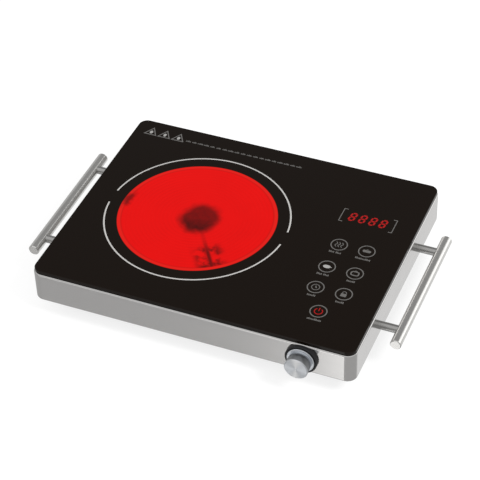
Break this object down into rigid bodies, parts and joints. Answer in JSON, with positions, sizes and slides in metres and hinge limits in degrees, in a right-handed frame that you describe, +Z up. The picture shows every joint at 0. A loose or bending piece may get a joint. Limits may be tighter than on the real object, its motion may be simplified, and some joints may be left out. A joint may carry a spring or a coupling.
{
  "type": "hot plate burner",
  "caption": "Portable infrared hot plate with a black glass top on a steel casing, a touch panel with display, a front knob and bar handles.",
  "frame": {"origin": "centre of the whole object's footprint, at the bottom of its feet", "axes": "+Z up, the knob and the front face -Y, the handles stand out along +X and -X"},
  "size_m": [0.425, 0.3038, 0.0615],
  "materials": {
    "glass": "gloss, printed black glass-ceramic",
    "seal": "matt silicone",
    "casing_steel": "satin stainless steel",
    "tray": "fine moulded texture",
    "foot_rubber": "matt",
    "screw_steel": "zinc plated",
    "handle_steel": "satin, brushed round",
    "plate_steel": "galvanised",
    "knob_metal": "spun face",
    "knob_plastic": "matt",
    "collar_plastic": "matt",
    "encoder_zinc": "die-cast zinc",
    "shaft_steel": "turned",
    "pan_steel": "aluminised",
    "insulation": "pressed insulating board",
    "ribbon": "glowing resistance alloy",
    "ceramic": "matt white",
    "spring_steel": "plain",
    "shield": "satin sheet",
    "frame_plastic": "matt",
    "board_green": "lacquered laminate",
    "board_tan": "paper laminate",
    "display": "milky lens",
    "part_black": "moulded",
    "relay_blue": "moulded",
    "transformer": "taped winding",
    "capacitor": "epoxy case",
    "heat_sink": "extruded",
    "terminal_green": "moulded",
    "bronze": "sintered bush",
    "copper": "enamelled wire",
    "lead_sleeve": "glass-silk sleeve",
    "flat_cable": "flat cable"
  },
  "bodies": {
    "base": {"glass_plate": "glass", "glass_seal": "seal", "casing": "casing_steel", "base_tray": "tray", "foot_front_left": "foot_rubber", "foot_front_right": "foot_rubber", "foot_rear_left": "foot_rubber", "foot_rear_right": "foot_rubber", "foot_screws": "screw_steel", "rim_screws": "screw_steel", "handle_bar_left": "handle_steel", "handle_bar_right": "handle_steel", "handle_post_left_front": "handle_steel", "handle_post_left_rear": "handle_steel", "handle_post_right_front": "handle_steel", "handle_post_right_rear": "handle_steel", "handle_plate_left": "plate_steel", "handle_plate_right": "plate_steel", "handle_screws": "screw_steel", "knob_collar": "collar_plastic", "encoder_body": "encoder_zinc", "encoder_washer": "encoder_zinc", "encoder_nut": "encoder_zinc", "heater_pan": "pan_steel", "insulation_base": "insulation", "insulation_ring": "insulation", "heating_ribbon": "ribbon", "limiter_rod": "ceramic", "limiter_head": "ceramic", "heater_terminal": "ceramic", "heater_springs": "spring_steel", "glass_sensor": "spring_steel", "heat_shield": "shield", "panel_frame": "frame_plastic", "frame_screws": "screw_steel", "control_board": "board_green", "touch_springs": "spring_steel", "display_module": "display", "control_chip": "part_black", "buzzer": "part_black", "power_board": "board_tan", "board_screws": "screw_steel", "relay": "relay_blue", "transformer": "transformer", "filter_capacitor": "capacitor", "heat_sink": "heat_sink", "terminal_block": "terminal_green", "fan_frame": "part_black", "fan_bearing": "bronze", "fan_coil": "copper", "fan_screws": "screw_steel", "cord_gland": "part_black", "gland_nut": "part_black", "wiring": "lead_sleeve", "board_cable": "flat_cable"},
    "knob": {"knob_cap": "knob_metal", "knob_core": "knob_plastic", "encoder_shaft": "shaft_steel"},
    "fan_rotor": {"fan_rotor": "part_black", "fan_shaft": "shaft_steel"}
  },
  "joints": [
    {"name": "knob_turn", "type": "hinge", "parent": "base", "child": "knob", "pos_m": [0.125, -0.1341, 0.03925], "axis": [0, -1, 0], "continuous": true},
    {"name": "fan_spin", "type": "hinge", "parent": "base", "child": "fan_rotor", "pos_m": [0.112, 0.0899, 0.02], "axis": [0, 0, 1], "continuous": true}
  ]
}
